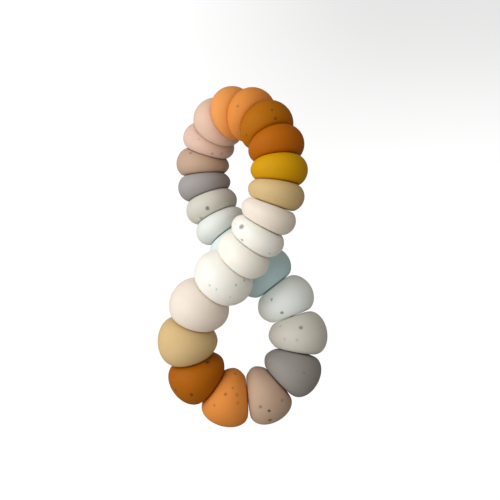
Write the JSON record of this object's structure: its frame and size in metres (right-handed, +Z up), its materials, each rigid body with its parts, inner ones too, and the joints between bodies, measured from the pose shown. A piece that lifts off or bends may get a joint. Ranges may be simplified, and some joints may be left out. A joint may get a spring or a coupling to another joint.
{
  "type": "looped silicone pebble toy",
  "caption": "Soft silicone pebbles threaded side by side on a closed elastic cord, lying crossed in a figure eight. Each pebble turns on the cord.",
  "frame": {"origin": "under the middle of the toy's box, on the surface it lies on", "axes": "+Z up, +Y along the long way of the figure eight towards the raised far loop, +X across it"},
  "size_m": [0.068, 0.1367, 0.0518],
  "materials": {
    "blush": "matte silicone, plain",
    "cognac": "matte silicone, plain",
    "cognac_speckled": "matte silicone with a few dark specks",
    "cord": "woven elastic, off-white",
    "cream": "matte silicone, plain",
    "cream_speckled": "matte silicone with blue-grey specks",
    "grey": "matte silicone, plain",
    "grey_speckled": "matte silicone with a few faint specks",
    "mauve_speckled": "matte silicone with a few dark specks",
    "mint": "matte silicone, plain",
    "mint_speckled": "matte silicone with a few dark specks",
    "mustard": "matte silicone, plain",
    "oat_speckled": "matte silicone with a few dark specks",
    "ochre_speckled": "matte silicone with a few blue-grey specks",
    "orange": "matte silicone, plain",
    "orange_speckled": "matte silicone with a few blue-grey specks",
    "pink": "matte silicone, plain",
    "pink_speckled": "matte silicone with a few grey specks",
    "sky": "matte silicone, plain",
    "sleeve": "satin, off-white",
    "tan": "matte silicone, plain",
    "teal": "matte silicone, plain"
  },
  "bodies": {
    "cord": {"elastic_cord": "cord", "cord_sleeve": "sleeve", "pebble_20_sky": "sky"},
    "pebble_01": {"pebble_01_orange": "orange"},
    "pebble_02": {"pebble_02_orange_speckled": "orange_speckled"},
    "pebble_03": {"pebble_03_ochre_speckled": "ochre_speckled"},
    "pebble_04": {"pebble_04_cognac": "cognac"},
    "pebble_05": {"pebble_05_mustard": "mustard"},
    "pebble_06": {"pebble_06_tan": "tan"},
    "pebble_07": {"pebble_07_blush": "blush"},
    "pebble_08": {"pebble_08_cream_speckled": "cream_speckled"},
    "pebble_09": {"pebble_09_cream": "cream"},
    "pebble_10": {"pebble_10_cream_speckled": "cream_speckled"},
    "pebble_11": {"pebble_11_blush": "blush"},
    "pebble_12": {"pebble_12_tan": "tan"},
    "pebble_13": {"pebble_13_cognac_speckled": "cognac_speckled"},
    "pebble_14": {"pebble_14_orange_speckled": "orange_speckled"},
    "pebble_15": {"pebble_15_mauve_speckled": "mauve_speckled"},
    "pebble_16": {"pebble_16_grey_speckled": "grey_speckled"},
    "pebble_17": {"pebble_17_oat_speckled": "oat_speckled"},
    "pebble_18": {"pebble_18_mint_speckled": "mint_speckled"},
    "pebble_19": {"pebble_19_teal": "teal"},
    "pebble_21": {"pebble_21_mint": "mint"},
    "pebble_22": {"pebble_22_oat_speckled": "oat_speckled"},
    "pebble_23": {"pebble_23_grey": "grey"},
    "pebble_24": {"pebble_24_mauve_speckled": "mauve_speckled"},
    "pebble_25": {"pebble_25_pink_speckled": "pink_speckled"},
    "pebble_26": {"pebble_26_pink": "pink"}
  },
  "joints": [
    {"name": "turn_pebble_01", "type": "hinge", "parent": "cord", "child": "pebble_01", "pos_m": [-0.00317, 0.05683, 0.02496], "axis": [0.7953, 0.0299, 0.6054], "range_deg": [-6, 6]},
    {"name": "turn_pebble_02", "type": "hinge", "parent": "cord", "child": "pebble_02", "pos_m": [0.00381, 0.055, 0.03037], "axis": [0.7206, -0.3982, 0.5675], "range_deg": [-7, 7]},
    {"name": "turn_pebble_03", "type": "hinge", "parent": "cord", "child": "pebble_03", "pos_m": [0.01004, 0.04928, 0.03549], "axis": [0.5189, -0.7275, 0.4489], "range_deg": [-7, 7]},
    {"name": "turn_pebble_04", "type": "hinge", "parent": "cord", "child": "pebble_04", "pos_m": [0.01395, 0.04104, 0.03896], "axis": [0.2553, -0.9364, 0.2406], "range_deg": [-9, 9]},
    {"name": "turn_pebble_05", "type": "hinge", "parent": "cord", "child": "pebble_05", "pos_m": [0.01513, 0.03193, 0.04043], "axis": [-0.0091, -0.9976, 0.0688], "range_deg": [-12, 12]},
    {"name": "turn_pebble_06", "type": "hinge", "parent": "cord", "child": "pebble_06", "pos_m": [0.01403, 0.02308, 0.04059], "axis": [-0.2433, -0.9693, -0.0347], "range_deg": [-15, 15]},
    {"name": "turn_pebble_07", "type": "hinge", "parent": "cord", "child": "pebble_07", "pos_m": [0.01117, 0.015, 0.03993], "axis": [-0.4182, -0.9004, -0.1202], "range_deg": [-19, 19]},
    {"name": "turn_pebble_08", "type": "hinge", "parent": "cord", "child": "pebble_08", "pos_m": [0.00701, 0.00751, 0.03852], "axis": [-0.536, -0.8194, -0.2033], "range_deg": [-21, 21]},
    {"name": "turn_pebble_09", "type": "hinge", "parent": "cord", "child": "pebble_09", "pos_m": [0.0016, 0.00025, 0.03624], "axis": [-0.6157, -0.7373, -0.2779], "range_deg": [-26, 26]},
    {"name": "turn_pebble_10", "type": "hinge", "parent": "cord", "child": "pebble_10", "pos_m": [-0.00642, -0.00856, 0.0323], "axis": [-0.6525, -0.6784, -0.3375], "range_deg": [-50, 50]},
    {"name": "turn_pebble_11", "type": "hinge", "parent": "cord", "child": "pebble_11", "pos_m": [-0.01557, -0.01998, 0.02711], "axis": [-0.5254, -0.7848, -0.3285], "range_deg": [-12, 12]},
    {"name": "turn_pebble_12", "type": "hinge", "parent": "cord", "child": "pebble_12", "pos_m": [-0.02018, -0.03341, 0.022], "axis": [-0.0555, -0.9431, -0.3279], "range_deg": [-6, 6]},
    {"name": "turn_pebble_13", "type": "hinge", "parent": "cord", "child": "pebble_13", "pos_m": [-0.0167, -0.04636, 0.01739], "axis": [0.5361, -0.7927, -0.2903], "range_deg": [-5, 5]},
    {"name": "turn_pebble_14", "type": "hinge", "parent": "cord", "child": "pebble_14", "pos_m": [-0.00578, -0.05427, 0.01427], "axis": [0.9476, -0.2893, -0.1358], "range_deg": [-4, 4]},
    {"name": "turn_pebble_15", "type": "hinge", "parent": "cord", "child": "pebble_15", "pos_m": [0.00761, -0.05348, 0.01275], "axis": [0.9058, 0.4175, -0.0727], "range_deg": [-4, 4]},
    {"name": "turn_pebble_16", "type": "hinge", "parent": "cord", "child": "pebble_16", "pos_m": [0.01758, -0.04443, 0.01225], "axis": [0.5088, 0.8609, 0.0005], "range_deg": [-5, 5]},
    {"name": "turn_pebble_17", "type": "hinge", "parent": "cord", "child": "pebble_17", "pos_m": [0.02036, -0.03115, 0.01225], "axis": [-0.1153, 0.9933, 0], "range_deg": [-6, 6]},
    {"name": "turn_pebble_18", "type": "hinge", "parent": "cord", "child": "pebble_18", "pos_m": [0.01612, -0.01777, 0.01225], "axis": [-0.4813, 0.8765, -0.0005], "range_deg": [-20, 20]},
    {"name": "turn_pebble_19", "type": "hinge", "parent": "cord", "child": "pebble_19", "pos_m": [0.00779, -0.00623, 0.01233], "axis": [-0.6783, 0.7347, 0.0125], "range_deg": [-24, 24]},
    {"name": "turn_pebble_21", "type": "hinge", "parent": "cord", "child": "pebble_21", "pos_m": [-0.00939, 0.0138, 0.01209], "axis": [-0.5129, 0.8569, -0.0514], "range_deg": [-24, 24]},
    {"name": "turn_pebble_22", "type": "hinge", "parent": "cord", "child": "pebble_22", "pos_m": [-0.01339, 0.02177, 0.01162], "axis": [-0.3837, 0.9219, -0.0531], "range_deg": [-24, 24]},
    {"name": "turn_pebble_23", "type": "hinge", "parent": "cord", "child": "pebble_23", "pos_m": [-0.01631, 0.03036, 0.01135], "axis": [-0.2558, 0.9667, -0.0061], "range_deg": [-9, 9]},
    {"name": "turn_pebble_24", "type": "hinge", "parent": "cord", "child": "pebble_24", "pos_m": [-0.01676, 0.03924, 0.01187], "axis": [0.1469, 0.982, 0.1189], "range_deg": [-7, 7]},
    {"name": "turn_pebble_25", "type": "hinge", "parent": "cord", "child": "pebble_25", "pos_m": [-0.01431, 0.04766, 0.01433], "axis": [0.3813, 0.8285, 0.4101], "range_deg": [-9, 9]},
    {"name": "turn_pebble_26", "type": "hinge", "parent": "cord", "child": "pebble_26", "pos_m": [-0.00957, 0.05409, 0.01929], "axis": [0.5945, 0.521, 0.6125], "range_deg": [-5, 5]}
  ]
}
